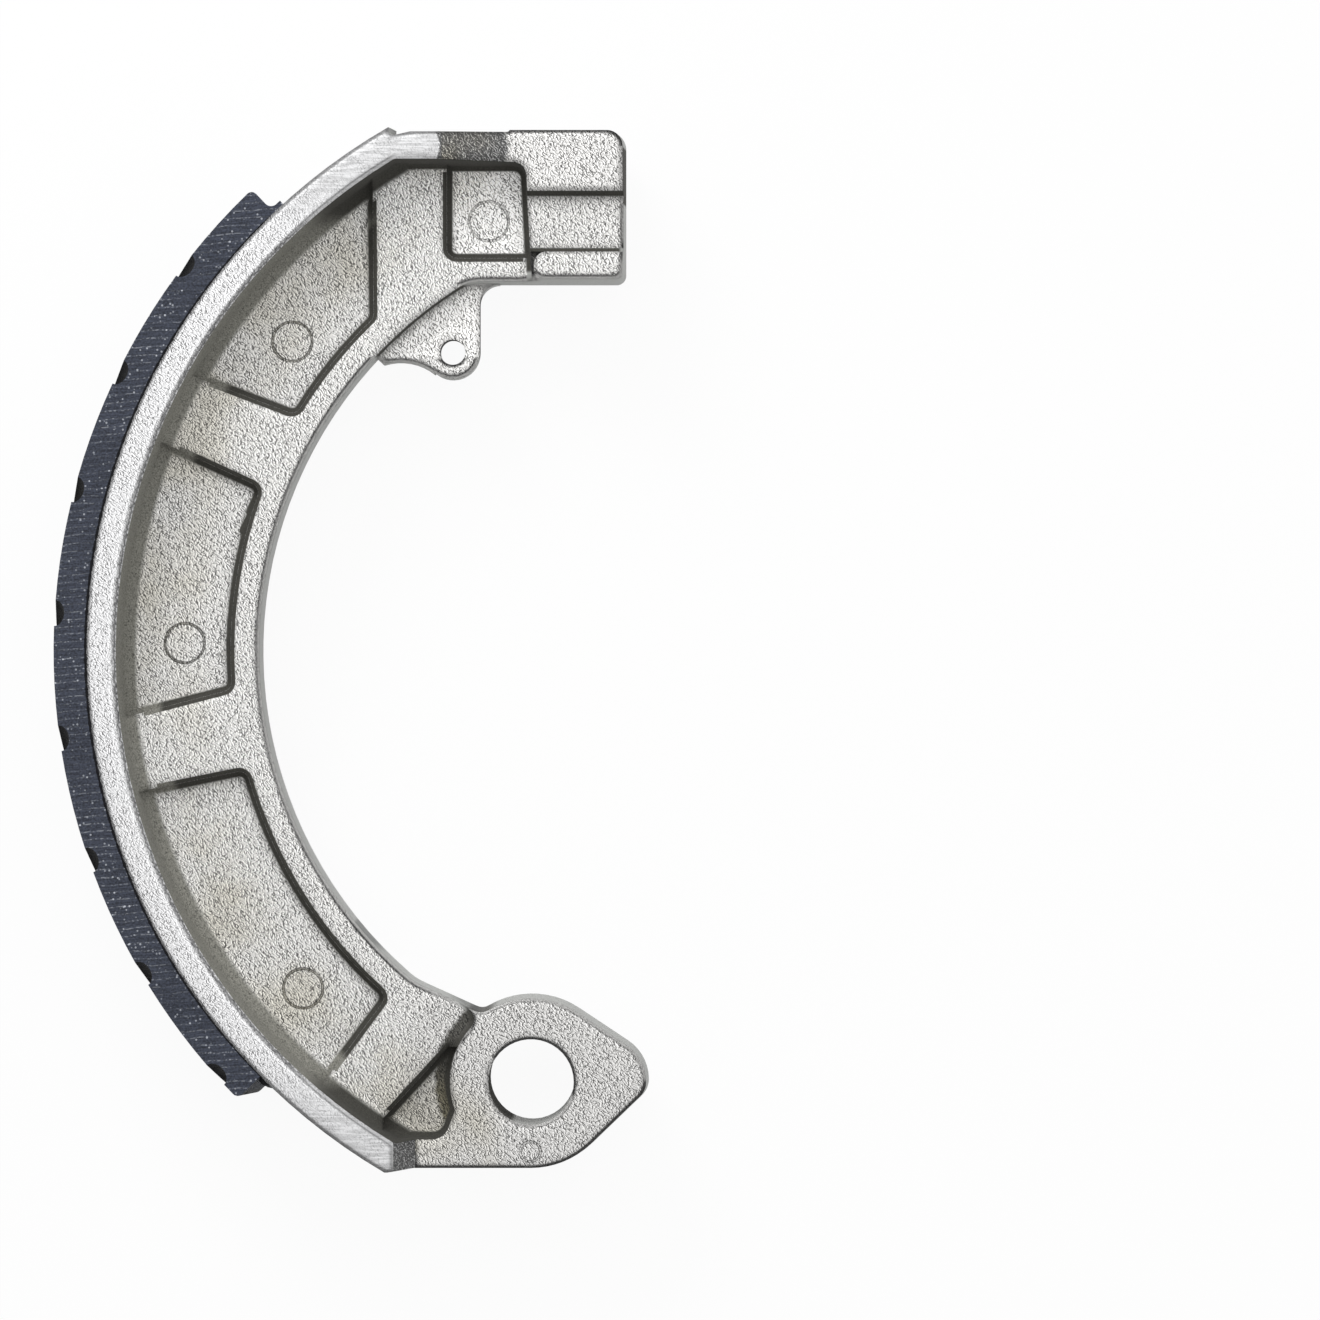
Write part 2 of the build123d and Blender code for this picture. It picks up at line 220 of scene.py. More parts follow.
class Paint:
    """A material or world that is put together from nodes."""

    def __init__(self, owner):
        self.owner = owner
        owner.use_nodes = True
        self.tree = owner.node_tree
        self.tree.nodes.clear()

    def node(self, kind, settings=None, values=None):
        """Adds a node, sets it up, then gives its sockets numbers, colours or links."""
        node = self.tree.nodes.new(kind)
        for name, setting in (settings or {}).items():
            setattr(node, name, setting)
        for key, value in (values or {}).items():
            value = value.socket if isinstance(value, Field) else value
            if isinstance(value, bpy.types.NodeSocket):
                self.tree.links.new(value, node.inputs[key])
            else:
                node.inputs[key].default_value = value
        return node

    def place(self):
        """Object coordinates as a vector and as three numbers."""
        coordinates = self.node("ShaderNodeTexCoord").outputs["Object"]
        return coordinates, self.split(coordinates)

    def split(self, vector):
        """The three numbers of a vector or colour."""
        parts = self.node("ShaderNodeSeparateXYZ", values={0: vector}).outputs
        return [Field(self, part) for part in parts]

    def own_normal(self):
        return self.node("ShaderNodeNewGeometry").outputs["Normal"]

    def upright(self):
        """1 where the surface faces straight up or down, 0 on an upright wall."""
        return abs(self.split(self.own_normal())[2])

    def stretched(self, place, turn, length):
        """Coordinates that draw a pattern out along a direction in the plane of the drum."""
        values = {"Vector": place, "Rotation": (0.0, 0.0, radians(turn)), "Scale": (length, 1.0, 1.0)}
        return self.node("ShaderNodeMapping", {"vector_type": "TEXTURE"}, values).outputs[0]

    def moved(self, place, step):
        """Coordinates a step away."""
        return self.node("ShaderNodeVectorMath", {"operation": "ADD"}, {0: place, 1: step}).outputs[0]

    def grain(self, place, size, detail=2.0, roughness=0.5, bend=0.0):
        """Noise texture with a grain size."""
        return self.node("ShaderNodeTexNoise", {"noise_dimensions": "3D"}, {
            "Vector": place, "Scale": 1 / size, "Detail": detail, "Roughness": roughness, "Distortion": bend,
        })

    def noise(self, place, size, **shape):
        return Field(self, self.grain(place, size, **shape).outputs["Fac"])

    def squiggles(self, place, size, width, **shape):
        """Thin winding lines, 1 along them: the places where two noises are equal."""
        first, second, _ = self.split(self.grain(place, size, **shape).outputs["Color"])
        return abs(first - second).fall(0.0, width)

    def spots(self, place, size, reach):
        """Round spots of a share of the grain size, 1 at the middle of each."""
        node = self.node("ShaderNodeTexVoronoi", {"feature": "F1"}, {"Vector": place, "Scale": 1 / size})
        return Field(self, node.outputs["Distance"]).fall(reach * 0.5, reach)

    def corners(self, reach):
        """0 in the open, rising towards 1 in the roots of walls: ambient occlusion, used as painted shade."""
        settings = {"samples": 3, "only_local": True}
        node = self.node("ShaderNodeAmbientOcclusion", settings, {"Distance": reach})
        return 1 - Field(self, node.outputs["AO"])

    def edges(self, radius):
        """How far the rounded surface turns near an edge, 0.3 at a square one, and its normal."""
        bevel = self.node("ShaderNodeBevel", {"samples": 16}, {"Radius": radius}).outputs[0]
        dot = {"operation": "DOT_PRODUCT"}
        same = self.node("ShaderNodeVectorMath", dot, {0: bevel, 1: self.own_normal()})
        return 1 - Field(self, same.outputs["Value"]), bevel

    def seen(self):
        """1 for what the camera sees directly, mirrored or through glass."""
        ray = self.node("ShaderNodeLightPath").outputs
        kinds = ("Is Camera Ray", "Is Glossy Ray", "Is Transmission Ray")
        direct, mirrored, through = (Field(self, ray[kind]) for kind in kinds)
        return direct.over(mirrored).over(through)

    def blend(self, share, low, high):
        """Colour between two colours."""
        low, high = ((*c, 1.0) if isinstance(c, (tuple, list)) else c for c in (low, high))
        node = self.node("ShaderNodeMix", {"data_type": "RGBA"}, {0: share, 6: low, 7: high})
        return node.outputs[2]

    def shade(self, colour, tone):
        """Colour made darker or lighter by a number."""
        node = self.node("ShaderNodeVectorMath", {"operation": "SCALE"}, {0: colour, "Scale": tone})
        return node.outputs[0]

    def finish(self, colour, roughness, height, relief, metallic=0.0, shine=0.5, normal=None):
        """Surface from colour, roughness and a height field, relief being its real depth."""
        bump_values = {"Height": height, "Distance": relief, "Strength": 1.0}
        if normal is not None:
            bump_values["Normal"] = normal
        bump = self.node("ShaderNodeBump", values=bump_values)
        surface = self.node("ShaderNodeBsdfPrincipled", values={
            "Base Color": colour, "Roughness": roughness, "Metallic": metallic,
            "Normal": bump.outputs[0], "Specular IOR Level": shine,
        })
        self.node("ShaderNodeOutputMaterial", values={0: surface.outputs[0]})
        return self.owner


def distance(x, y, centre_x=0.0, centre_y=0.0):
    """Distance from an axis parallel to Z, as a number over the surface."""
    across, up = x - centre_x, y - centre_y
    return (across * across + up * up) ** 0.5


def from_segment(x, y, start, end):
    """Distance from the straight line between two points."""
    run, climb = end[0] - start[0], end[1] - start[1]
    length = (run * run + climb * climb) ** 0.5
    run, climb = run / length, climb / length
    across, up = x - start[0], y - start[1]
    along = (across * run + up * climb).over(0.0).upto(length)
    return distance(across - along * run, up - along * climb)


def rectangle(across, up, borders, soft):
    """1 inside a rectangle, which is given by its lowest and highest across and up."""
    return across.within(*borders[0], soft) * up.within(*borders[1], soft)


class CastingFinish(bpy.types.PropertyGroup):
    """Finish of the die casting."""

    blasted: bpy.props.FloatVectorProperty(
        name="Blasted faces", description="Colour of the flat faces after shot blasting",
        subtype="COLOR", default=linear(206, 205, 203))
    walls: bpy.props.FloatVectorProperty(
        name="Outer walls", description="Colour of the smooth walls that face out",
        subtype="COLOR", default=linear(176, 177, 174))
    # Dark of the recess: partly the walls' own as-cast skin, partly painted shade on the walls and in their
    # roots
    hollow_skin_and_shade: bpy.props.FloatVectorProperty(
        name="Hollows", description="Colour of the walls and roots inside the recess",
        subtype="COLOR", default=linear(68, 67, 62))
    bank: bpy.props.FloatVectorProperty(
        name="Bank", description="Colour of the long wall under the table",
        subtype="COLOR", default=linear(146, 145, 137))
    skin: bpy.props.FloatVectorProperty(
        name="As cast", description="Colour of the rough ramps that were never machined",
        subtype="COLOR", default=linear(112, 112, 112))
    machined: bpy.props.FloatVectorProperty(
        name="Machined sides", description="Colour of the table's two flat sides",
        subtype="COLOR", default=linear(218, 218, 219))
    stain: bpy.props.FloatVectorProperty(
        name="Stain", description="Colour of the faint stains in the corners",
        subtype="COLOR", default=linear(150, 142, 112))
    grain: bpy.props.FloatProperty(
        name="Grain", description="Width of one dimple of the blasted faces",
        unit="LENGTH", default=0.38 * MM, min=0.1 * MM, precision=5)
    relief: bpy.props.FloatProperty(
        name="Relief", description="Depth of the dimples",
        unit="LENGTH", default=0.09 * MM, min=0.0, precision=5)
    # The same radius also sets how wide the painted shade along the edges is
    edge: bpy.props.FloatProperty(
        name="Edge", description="Radius of the rounding that darkens sharp edges",
        unit="LENGTH", default=2.20 * MM, min=0.0, precision=5)
    shade_reach: bpy.props.FloatProperty(
        name="Root shade", description="How far the dark of the roots runs out on the flats",
        unit="LENGTH", default=1.5 * MM, min=0.0, precision=5)


class LiningFinish(bpy.types.PropertyGroup):
    """Finish of the friction lining."""

    compound: bpy.props.FloatVectorProperty(
        name="Compound", description="Colour of the sawn sides",
        subtype="COLOR", default=linear(57, 61, 72))
    worn: bpy.props.FloatVectorProperty(
        name="Friction face", description="Colour of the ground outer face",
        subtype="COLOR", default=linear(88, 90, 96))
    # Nearly black: painted shade inside the grooves
    groove_shade: bpy.props.FloatVectorProperty(
        name="Grooves", description="Colour inside the grooves",
        subtype="COLOR", default=linear(6, 6, 8))
    fleck: bpy.props.FloatVectorProperty(
        name="Flecks", description="Colour of the pale flecks",
        subtype="COLOR", default=linear(196, 200, 208))
    fleck_size: bpy.props.FloatProperty(
        name="Fleck spacing", description="Distance from one fleck to the next",
        unit="LENGTH", default=0.75 * MM, min=0.1 * MM, precision=5)
    row: bpy.props.FloatProperty(
        name="Row spacing", description="Distance from one row of flecks to the next",
        unit="LENGTH", default=1.2 * MM, min=0.2 * MM, precision=5)


class BeadSizes(bpy.types.PropertyGroup):
    """Sizes of the adhesive that was squeezed out of the joint."""

    colour: bpy.props.FloatVectorProperty(
        name="Adhesive", description="Colour of the hardened adhesive",
        subtype="COLOR", default=linear(14, 14, 17))
    lumps: bpy.props.FloatVectorProperty(
        name="Lumps", description="Colour of its paler lumps",
        subtype="COLOR", default=linear(26, 26, 29))
    width: bpy.props.FloatProperty(
        name="Width", description="Width of the bead along both sides",
        unit="LENGTH", default=0.38 * MM, min=0.05 * MM, precision=5)
    height: bpy.props.FloatProperty(
        name="Height", description="How far the bead stands out of both sides",
        unit="LENGTH", default=0.10 * MM, min=0.01 * MM, precision=5)
    foot: bpy.props.FloatProperty(
        name="Foot", description="Reach of the bead along the table at the pivot end",
        unit="LENGTH", default=1.5 * MM, min=0.1 * MM, precision=5)
    climb: bpy.props.FloatProperty(
        name="Climb", description="Reach of the bead up the lining's end face there",
        unit="LENGTH", default=1.1 * MM, min=0.1 * MM, precision=5)


class StageSettings(bpy.types.PropertyGroup):
    """Floor, camera and light."""

    floor: bpy.props.FloatVectorProperty(
        name="Floor", description="Colour of the floor",
        subtype="COLOR", default=(0.92, 0.92, 0.92))
    tooth: bpy.props.FloatVectorProperty(
        name="Tooth", description="Colour of the floor's paler spots",
        subtype="COLOR", default=(0.95, 0.95, 0.95))
    whiteness: bpy.props.FloatProperty(
        name="Whiteness", description="How far the floor is white where it is seen, 1 hides the shadow",
        subtype="FACTOR", default=0.93, min=0.0, max=1.0)
    camera_height: bpy.props.FloatProperty(
        name="Camera height", description="Height of the camera over the middle of the shoe",
        unit="LENGTH", default=1.1)
    camera_x: bpy.props.FloatProperty(
        name="Camera X", description="Place of the camera over the shoe",
        unit="LENGTH", default=22.75 * MM, precision=5)
    camera_y: bpy.props.FloatProperty(
        name="Camera Y", description="Place of the camera over the shoe",
        unit="LENGTH", default=68.26 * MM, precision=5)
    lens: bpy.props.FloatProperty(
        name="Lens", description="Focal length on a 36 mm wide film",
        subtype="DISTANCE_CAMERA", default=188.5)
    softbox: bpy.props.FloatProperty(
        name="Softbox", description="Power of the large lamp overhead",
        subtype="POWER", default=6.6)
    key: bpy.props.FloatProperty(
        name="Key", description="Power of the low lamp past the cam end",
        subtype="POWER", default=1.6)
    ambient: bpy.props.FloatProperty(
        name="Ambient", description="Strength of the even light all round", default=0.46)


class CastSkin:
    """Patterns of the blasted skin, each a number over the surface.

    One web of winding lines is laid twice, the second time a small step away, as if lit from one side.
    Only the second has a line where a dark stroke is, painted shade on the lee of a dimple, and only the
    first where a glint is, a painted highlight.
    """

    def __init__(self, paint, place, size):
        drawn_out = paint.stretched(place, STROKE_TURN, STROKE_DRAW)
        shifted = paint.moved(drawn_out, STROKE_STEP)
        ridges = paint.squiggles(drawn_out, size, STROKE_WIDTH, detail=0.5, bend=0.4)
        lee = paint.squiggles(shifted, size, STROKE_WIDTH, detail=0.5, bend=0.4)
        self.broken = paint.noise(place, size * 1.3, detail=0.0).rise(0.36, 0.56)
        # Painted light and shade of the dimples: the dark lines are painted shade on their lee, the glints
        # are painted highlights
        self.relief_shading = ridges - lee
        self.strokes = (lee - ridges * 0.6).over(0.0).rise(0.05, 0.70) * (0.40 + self.broken * 0.60)
        self.glints = self.relief_shading.over(0.0)
        self.fine = paint.noise(place, size * 0.6, detail=1.0).rise(0.3, 0.7)
        self.patches = paint.noise(place, 2.2 * MM, detail=1.0).rise(0.35, 0.65)
        self.clouds = paint.noise(place, 14 * MM, detail=3.0).rise(0.3, 0.7)
        self.cuts = paint.noise(paint.stretched(place, 0, 12.0), 0.32 * MM, detail=1.5).rise(0.40, 0.62)

    def tone(self, plain, **shares):
        """A plain level plus each named pattern times its share."""
        for pattern, share in shares.items():
            plain = plain + getattr(self, pattern) * share
        return plain


def casting_map(r, across, up, off, upright):
    """Regions of the casting, 1 inside. Off is the distance from the shoe's middle plane."""
    border = 0.3 * MM
    ring = r.within(RECESS_IN_R, TABLE_IN_R + border, border) * up.within(*RECESS_UP, 0.2 * MM)
    ring = ring * (1 - across.rise(*BOSS_SIDE) * up.fall(*BOSS_TOP))
    cam_pocket = rectangle(across, up, CAM_POCKET, border)
    lug = rectangle(across, up, LUG, border)
    square_floor = cam_pocket * across.fall(*CAM_POCKET_SIDE) * off.fall(*FLOOR_Z)
    side = off.rise(SIDE_Z - 0.15 * MM, SIDE_Z - 0.05 * MM)
    bulge = ((up - HEAD_BULGE_UP) ** 2) * (0.12 / MM)
    head_ramp = (across + bulge).within(*HEAD_RAMP, 0.2 * MM) * up.rise(*HEAD_RAMP_UP)
    foot_ramp = across.within(*FOOT_RAMP, 0.15 * MM) * up.fall(*FOOT_RAMP_UP)
    return SimpleNamespace(
        ring=ring,
        lug=lug,
        hollow=ring.over(cam_pocket).over(lug),
        floor_painted_light=square_floor.over(lug * off.fall(*LUG_Z)),
        side=side,
        ramp=head_ramp.over(foot_ramp * (1 - side)) * upright.rise(0.3, 0.45),
        bank=r.rise(*BANK_R) * abs(up).fall(*BANK_UP),
    )


def casting_material(look):
    """Blasted aluminium: bright grain on the flats, smooth dark recesses darkened partly by painted shade,
    machined sides, painted shade and highlights along the edges.
    """
    paint = Paint(bpy.data.materials.new(CASTING))
    place, (x, y, z) = paint.place()
    upright = paint.upright()
    across, up, off = x - DRUM_X, y - DRUM_Y, abs(z)
    r = distance(x, y, DRUM_X, DRUM_Y)
    from_bore = distance(x, y)
    level = upright.rise(0.86, 0.985)
    turned, bevel = paint.edges(look.edge)
    bevel_x, bevel_y, _ = paint.split(bevel)
    skin = CastSkin(paint, place, look.grain)
    area = casting_map(r, across, up, off, upright)

    # Painted shade along the edges, where their rounding turns away from the light, and a painted highlight
    # along the edges that face the axle
    inward = bevel_x * (MIDDLE_X - x) + bevel_y * (MIDDLE_Y - y)
    lip_highlight = turned.rise(0.10, 0.15) * inward.rise(2 * MM, 8 * MM) * (1 - area.hollow)
    near_boss = from_bore.fall(*BOSS_R)
    thin = near_boss.over(inward.fall(-4 * MM, 2 * MM))
    rim_shade = turned.rise(0.012 + thin * 0.04, 0.05 + thin * 0.05) * (1 - lip_highlight)
    rim_shade = rim_shade * (1 - area.lug * 0.8) * (1 - r.rise(*BANK_FOOT_R) * area.ring)
    rim_shade = rim_shade * (1 - area.hollow * (0.65 + skin.strokes * 0.3))

    # Walls and their roots: the walls' dark skin, painted shade in the roots that runs out onto the flats
    # with a flecked border, and a band of painted shade at the foot of the boss
    loose = from_bore + (paint.noise(place, 0.9 * MM, detail=2.0) - 0.5) * (1.2 * MM)
    boss_foot_shade = loose.within(*BOSS_SHADE_R, 0.5 * MM) * off.fall(*BOSS_Z) * x.fall(*BOSS_X)
    flecked_shade = paint.corners(look.shade_reach) - skin.relief_shading * 0.10 - (skin.fine - 0.5) * 0.10
    # Painted shade in the roots, halved on the small floors that get painted light
    root = flecked_shade.rise(0.06, 0.30) * (1 - area.floor_painted_light * 0.5)
    walled_and_shaded = (1 - level).over(root * (1 - area.side)).over(boss_foot_shade)
    wall_colour = paint.blend(area.bank, look.hollow_skin_and_shade[:], look.bank[:])
    wall_colour = paint.shade(wall_colour, skin.tone(1.28, fine=-0.56, strokes=area.bank * -0.45))

    colour = paint.blend(level, look.walls[:], look.blasted[:])
    # Painted light: the floors of the square pocket and the lug are made brighter, to make up for the light
    # their walls keep off
    colour = paint.shade(colour, 1 + area.floor_painted_light * level * 0.42)
    colour = paint.blend((walled_and_shaded * area.hollow).over(boss_foot_shade), colour, wall_colour)
    colour = paint.blend(area.side, colour, look.machined[:])
    colour = paint.blend(area.ramp, colour, look.skin[:])
    stained = (1 - skin.clouds) * (1 - area.side) * level * across.fall(*STAIN_SIDE)
    stained = stained * r.within(STAIN_R, TABLE_IN_R, 4 * MM) * 0.4
    colour = paint.blend(stained, colour, look.stain[:])

    # Tone of the flats and walls, with the dimples' painted shade and painted highlights
    blasted = skin.tone(1.06, strokes=-1.16 - skin.patches * 0.16, glints=0.86, fine=0.24)
    blasted = (blasted * (1 - near_boss * 0.12)).over(0.12)
    smooth = skin.tone(0.92, fine=0.16, strokes=-0.06)
    tone = smooth.towards(blasted, level * (1 - root * area.hollow * 0.6))

    # Tone of the machined sides: the painted shadow of a burr along the inner edge, a painted sheen line
    # inside it, cutting marks at both ends
    outerness = r.rise(TABLE_IN_R + 0.3 * MM, JOINT_R - 0.6 * MM)
    ragged = r + (paint.noise(place, 0.7 * MM, detail=2.0) - 0.5) * (0.9 * MM)
    burr_shadow = abs(ragged - TABLE_IN_R - 0.25 * MM).fall(0.05 * MM, 0.28 * MM) * abs(up).fall(*BURR_SHADOW_UP)
    sheen_line = ragged.within(TABLE_IN_R + 0.5 * MM, TABLE_IN_R + 1.3 * MM, 0.2 * MM)
    side = skin.tone(1.00, strokes=-0.78 - outerness * 0.26, glints=0.60, fine=0.12)
    side = (side + sheen_line * 0.14).over(0.18)
    cut = skin.tone(0.80, cuts=0.26, strokes=-0.16 - skin.patches * 0.20)
    side = side.towards(cut, abs(up).rise(*TURNED_UP)) * (1 - burr_shadow * 0.90)
    tone = tone.towards(side, area.side)

    # Tone of the as-cast ramps, then painted shade along the edges, beside the pivot boss and in fine
    # grooves, then the painted highlight along the edges that face the axle
    as_cast = skin.tone(0.34, glints=1.68 + skin.broken * 2.52, fine=0.26)
    tone = tone.towards(as_cast, area.ramp)
    tone = tone * (1 - rim_shade * (0.90 + skin.fine * 0.08) * (1 - area.side * 0.3) * level)
    # Painted shade of that sloped rise, which faces away from the light
    ridge_shade = from_segment(across, up, *FOOT_SLOPE_SHADE).fall(0.8 * MM, 1.5 * MM) * (0.5 + skin.fine * 0.5)
    tone = tone * (1 - ridge_shade * 0.7 * (1 - lip_highlight))
    # Painted shade in that groove and in the two fine lines of each ejector mark
    mark_shade = from_segment(across, up, *PAD_FOOT).fall(0.15 * MM, 0.60 * MM)
    for mark_x, mark_y, mark_r in MARKS:
        away = distance(x, y, mark_x, mark_y) - mark_r
        lines = 1 - abs(away).rise(*MARK_LINE) * abs(away + MARK_GAP).rise(*MARK_LINE)
        mark_shade = mark_shade.over(lines * (0.42 + skin.patches * 0.45))
    tone = tone * (1 - mark_shade * 0.75 * level)
    # Painted highlight along the edges that face the axle
    tone = tone + (0.86 - tone) * lip_highlight

    height = skin.fine * 0.2 - skin.strokes * (0.12 + level * 0.88) * (1 - area.side * 0.7)
    roughness = 0.60 - level * 0.14 + area.ramp * 0.1 + (1 - level) * area.hollow * 0.40
    colour = paint.shade(colour, tone)
    return paint.finish(colour, roughness, height, look.relief, metallic=level * 0.25, normal=bevel)


def lining_material(look):
    """Moulded friction compound: sawn sides with rows of flecks, grooves darkened nearly to black as painted
    shade, a ground outer face.
    """
    paint = Paint(bpy.data.materials.new(LINING))
    place, (x, y, _) = paint.place()
    r = distance(x, y, DRUM_X, DRUM_Y)
    side = paint.upright().rise(0.85, 0.95)
    outer = r.rise(DRUM_R - 0.10 * MM, DRUM_R - 0.03 * MM) * (1 - side)
    inner = (1 - side) * (1 - outer)
    in_groove = r.rise(*GROOVE_FLOOR_R)
    groove_shade = inner * in_groove
    end = inner * (1 - in_groove)

    saw = paint.noise(paint.stretched(place, ROW_TURN, 11.0), 0.24 * MM, detail=1.0).rise(0.40, 0.60)
    wave = paint.noise(place, 6 * MM, detail=1.0) * (1.0 * MM)
    step = (y - x * ROW_CLIMB + wave).repeat(look.row)
    row = abs(step - look.row * 0.5).fall(0.02 * MM, 0.16 * MM)
    speckle = paint.noise(place, 0.35 * MM, detail=1.0).rise(0.35, 0.65)
    cloud = paint.noise(place, 9 * MM, detail=2.0).rise(0.35, 0.65)
    dots = paint.noise(paint.stretched(place, ROW_TURN, 1.6), 0.24 * MM, detail=0.5).rise(0.48, 0.62)
    flecks = row * (0.04 + dots * 0.34) * (0.25 + cloud * 0.75)
    sown = paint.noise(place, 0.9 * MM, detail=0.0).rise(0.44, 0.60)
    crumbs = paint.spots(place, look.fleck_size, 0.28) * sown * (0.45 + row * 0.55 + cloud * 0.2)

    colour = paint.blend(outer, look.compound[:], look.worn[:])
    # Painted shade inside the grooves
    colour = paint.blend(groove_shade, colour, look.groove_shade[:])
    colour = paint.shade(colour, 0.46 + saw * 0.35 + speckle * 0.68 + cloud * 0.10 - end * 0.35)
    colour = paint.blend(flecks.over(crumbs) * (1 - groove_shade) * (1 - end * 0.6), colour, look.fleck[:])
    height = saw * 0.5 + speckle * (0.5 + end * 3.0)
    return paint.finish(colour, 0.62 + speckle * 0.15, height, 0.05 * MM, shine=0.2)


def bead_material(look):
    """Hardened adhesive: nearly black, slightly glossy and lumpy."""
    paint = Paint(bpy.data.materials.new(BEAD))
    place, _ = paint.place()
    lumps = paint.noise(place, 0.8 * MM, detail=2.0).rise(0.3, 0.7)
    colour = paint.shade(paint.blend(lumps, look.colour[:], look.lumps[:]), 0.9 + lumps * 0.2)
    return paint.finish(colour, 0.55 + lumps * 0.2, lumps, 0.08 * MM, shine=0.1)


def floor_material(look):
    """Matt pale paper; where it is seen it is mostly white, and keeps part of the shadow."""
    paint = Paint(bpy.data.materials.new("floor"))
    place, _ = paint.place()
    colour = paint.blend(paint.noise(place, 2 * MM, detail=2.0), look.floor[:], look.tooth[:])
    paper = paint.node("ShaderNodeBsdfDiffuse", values={"Color": colour})
    white = paint.node("ShaderNodeEmission", values={"Color": WHITE, "Strength": 1.0})
    seen = paint.seen() * look.whiteness
    mix = paint.node("ShaderNodeMixShader", values={0: seen, 1: paper.outputs[0], 2: white.outputs[0]})
    paint.node("ShaderNodeOutputMaterial", values={0: mix.outputs[0]})
    return paint.owner


def studio_world(look):
    """Even light all round, which is white where it is seen or mirrored."""
    paint = Paint(bpy.data.worlds.new("studio"))
    even = paint.node("ShaderNodeBackground", values={"Color": WHITE, "Strength": look.ambient})
    white = paint.node("ShaderNodeBackground", values={"Color": WHITE, "Strength": 1.0})
    mix = paint.node("ShaderNodeMixShader", values={0: paint.seen(), 1: even.outputs[0], 2: white.outputs[0]})
    paint.node("ShaderNodeOutputWorld", values={0: mix.outputs[0]})
    return paint.owner


def tapered_tube(path, first, second, first_reach, second_reach, around=SECTION_POINTS):
    """Closed tube along a path with an elliptic section that shrinks to a point at both ends.

    A point is the path's point, plus the cosine of the angle round the tube times the
    first reach along the first direction, plus its sine times the second reach along the
    second. All reaches are multiplied by the fourth root of a half sine along the path.
    """
    along = len(path)
    taper = np.sin(pi * np.linspace(0, 1, along)) ** 0.25
    taper[[0, -1]] = 0
    angle = np.linspace(0, 2 * pi, around, endpoint=False)
    cosine = (np.cos(angle)[None, :] * (first_reach * taper)[:, None])[..., None]
    sine = (np.sin(angle)[None, :] * (second_reach * taper)[:, None])[..., None]
    points = path[:, None, :] + cosine * first[:, None, :] + sine * second[:, None, :]
    vertices = np.vstack([path[:1], points[1:-1].reshape(-1, 3), path[-1:]])
    rows = np.arange(along - 3)[:, None] * around + 1
    here = np.arange(around)[None, :]
    after = (here + 1) % around
    quads = np.stack([rows + here, rows + after, rows + around + after, rows + around + here], -1)
    last = len(vertices) - 1
    last_ring = last - around
    first_cap = np.stack([0 * here[0], 1 + after[0], 1 + here[0]], -1)
    last_cap = np.stack([0 * here[0] + last, last_ring + here[0], last_ring + after[0]], -1)
    return vertices, quads.reshape(-1, 4).tolist() + first_cap.tolist() + last_cap.tolist()


def ripple(share, count, seed):
    """One plus three sines along a bead, of about 1, 2 and 5 times a count of waves."""
    phases = np.random.default_rng(seed).uniform(0, 2 * pi, 3)
    waves = [np.sin(2 * pi * share * count * k + phase) for k, phase in zip((1.0, 2.3, 5.1), phases)]
    return 1 + 0.22 * waves[0] + 0.16 * waves[1] + 0.12 * waves[2]


def joint_ends():
    """Angles of the lining's pivot end and cam end about the drum axis, from -X towards +Y."""
    climbs = (lining_low.y - DRUM_Y, lining_high.y - DRUM_Y)
    return [atan2(climb, (DRUM_R ** 2 - climb ** 2) ** 0.5) for climb in climbs]


def arc_strip(look, z, facing, seed):
    """Bead along one side of the joint: an arc of the joint's radius at a side face."""
    pivot, cam = joint_ends()
    share = np.linspace(0, 1, ARC_POINTS)
    angle = pivot + (cam - pivot) * share
    out = np.stack([-np.cos(angle), np.sin(angle), 0 * angle], -1)
    path = np.array([DRUM_X, DRUM_Y, z]) + JOINT_R * out
    up = np.zeros_like(out) + np.array([0, 0, facing])
    width = 0.5 * look.width * ripple(share, 60, seed)
    height = look.height * ripple(share, 40, seed + 1)
    return tapered_tube(path, out, up, width, height)


def end_strip(look, angle, turn, seed):
    """Bead across the table at one end of the lining, in the corner under its end face."""
    share = np.linspace(0, 1, END_POINTS)
    out = np.array([-cos(angle), sin(angle), 0.0])
    along = np.array([sin(angle), cos(angle), 0.0]) * turn
    z = (share - 0.5) * 2 * (SIDE_Z - 0.1 * MM)
    path = np.array([DRUM_X, DRUM_Y, 0]) + JOINT_R * out + z[:, None] * np.array([0, 0, 1.0])
    foot = look.foot * ripple(share, 3, seed)
    climb = look.climb * ripple(share, 4, seed + 1)
    return tapered_tube(path, np.tile(along, (END_POINTS, 1)), np.tile(out, (END_POINTS, 1)), foot, climb)


def new_piece(name, parts, material, body="root"):
    """One mesh object from several closed shells, facing outwards, riding on a CAD body."""
    vertices, faces, count = [], [], 0
    for points, polygons in parts:
        vertices.append(points)
        faces += [[corner + count for corner in polygon] for polygon in polygons]
        count += len(points)
    mesh = bpy.data.meshes.new(name)
    mesh.from_pydata(np.vstack(vertices).tolist(), [], faces)
    mesh.polygons.foreach_set("use_smooth", np.ones(len(mesh.polygons), bool))
    mesh.materials.append(material)
    mesh.update()
    piece = bpy.data.objects.new(name, mesh)
    bpy.context.scene.collection.objects.link(piece)
    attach(piece, body)
    return piece


def dress(node, material):
    """Gives a CAD node a material of its own."""
    mesh = frame["nodes"][node].data
    mesh.materials.clear()
    mesh.materials.append(material)


